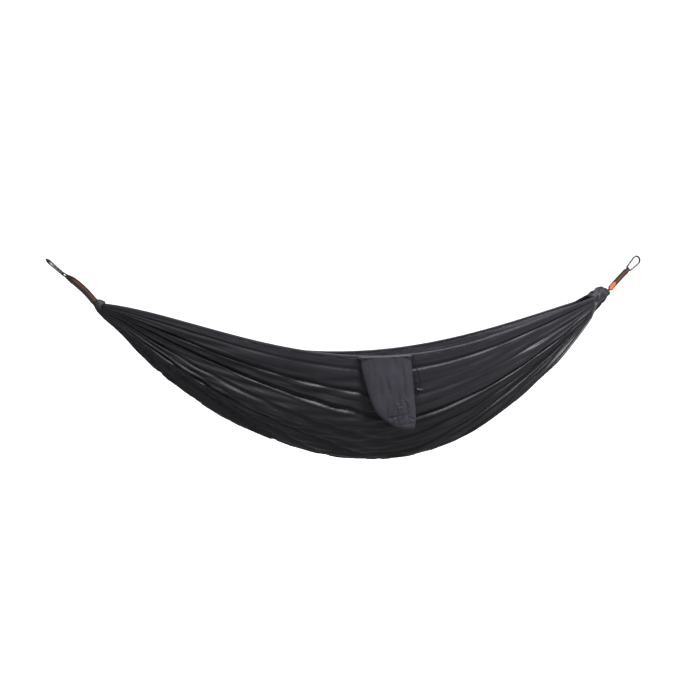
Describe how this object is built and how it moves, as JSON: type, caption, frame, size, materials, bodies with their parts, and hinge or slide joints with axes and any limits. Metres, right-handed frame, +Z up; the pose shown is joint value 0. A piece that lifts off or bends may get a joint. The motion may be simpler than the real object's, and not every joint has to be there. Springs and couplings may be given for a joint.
{
  "type": "gathered-end camping hammock",
  "caption": "Camping hammock with gathered ends, webbing loops, spring-gate carabiners and a drawstring stuff pouch hanging from its near rim.",
  "frame": {"origin": "inner face of the left carabiner's wide bow, where a tree strap or hook bears", "axes": "+X along the ridge to the same place on the right carabiner; +Z up; the stuff pouch hangs on the near rim, on the -Y side"},
  "size_m": [2.4987, 0.5845, 0.851],
  "materials": {
    "cloth": "charcoal-black woven ripstop nylon with a faint sheen",
    "hem_cloth": "rolled and stitched black nylon with a thin rust edge",
    "webbing": "ribbed woven webbing, rust middle stripe between black edges",
    "binding_tape": "narrow rust tape",
    "cord": "braided black cord",
    "gunmetal": "dark grey anodised, satin",
    "steel": "plain",
    "lock_plastic": "black moulded"
  },
  "bodies": {
    "hammock": {"bed_panel": "cloth", "near_hem": "hem_cloth", "far_hem": "hem_cloth", "left_end_channel": "cloth", "right_end_channel": "cloth", "left_strap": "webbing", "right_strap": "webbing", "left_strap_tack": "webbing", "right_strap_tack": "webbing", "pouch_seam": "hem_cloth"},
    "left_carabiner": {"left_carabiner_body": "gunmetal"},
    "left_gate": {"left_gate": "gunmetal", "left_gate_pin": "steel", "left_gate_spring": "steel"},
    "right_carabiner": {"right_carabiner_body": "gunmetal"},
    "right_gate": {"right_gate": "gunmetal", "right_gate_pin": "steel", "right_gate_spring": "steel"},
    "pouch": {"pouch_back": "cloth", "pouch_front": "cloth", "pouch_binding": "binding_tape", "pouch_mouth_hem": "cloth", "pouch_mouth_cord": "cord", "pouch_label": "cloth"},
    "drawstring": {"drawstring": "cord", "drawstring_knot": "cord"},
    "cord_lock": {"cord_lock_barrel": "lock_plastic", "cord_lock_spring": "steel"},
    "cord_lock_button": {"cord_lock_button": "lock_plastic"}
  },
  "joints": [
    {"name": "left_carabiner_swing", "type": "hinge", "parent": "hammock", "child": "left_carabiner", "pos_m": [0.04914, 0, -0.04914], "axis": [0.2418, -0.9397, 0.2418], "range_deg": [-90, 90]},
    {"name": "left_gate_hinge", "type": "hinge", "parent": "left_carabiner", "child": "left_gate", "pos_m": [0.04371, -0.01277, -0.03714], "axis": [-0.6645, -0.342, -0.6645], "range_deg": [0, 28], "stiffness_Nm_per_rad": 0.3, "springref_deg": -17.19},
    {"name": "right_carabiner_swing", "type": "hinge", "parent": "hammock", "child": "right_carabiner", "pos_m": [2.43128, 0, -0.04914], "axis": [-0.7071, 0, 0.7071], "range_deg": [-90, 90]},
    {"name": "right_gate_hinge", "type": "hinge", "parent": "right_carabiner", "child": "right_gate", "pos_m": [2.43038, 0, -0.03082], "axis": [0, 1, 0], "range_deg": [0, 28], "stiffness_Nm_per_rad": 0.3, "springref_deg": -17.19},
    {"name": "pouch_flip", "type": "hinge", "parent": "hammock", "child": "pouch", "pos_m": [1.18821, -0.28498, -0.3508], "axis": [-1, 0, 0], "range_deg": [-2, 160]},
    {"name": "drawstring_swing", "type": "hinge", "parent": "hammock", "child": "drawstring", "pos_m": [1.29046, -0.29335, -0.3555], "axis": [-1, 0, 0], "range_deg": [-2, 75]},
    {"name": "cord_lock_slide", "type": "slide", "parent": "drawstring", "child": "cord_lock", "axis": [0.1994, 0, 0.9799], "range_m": [0, 0.024]},
    {"name": "cord_lock_press", "type": "slide", "parent": "cord_lock", "child": "cord_lock_button", "axis": [-0.9799, 0, 0.1994], "range_m": [0, 0.003], "stiffness_N_per_m": 600, "springref_m": -0.003}
  ]
}
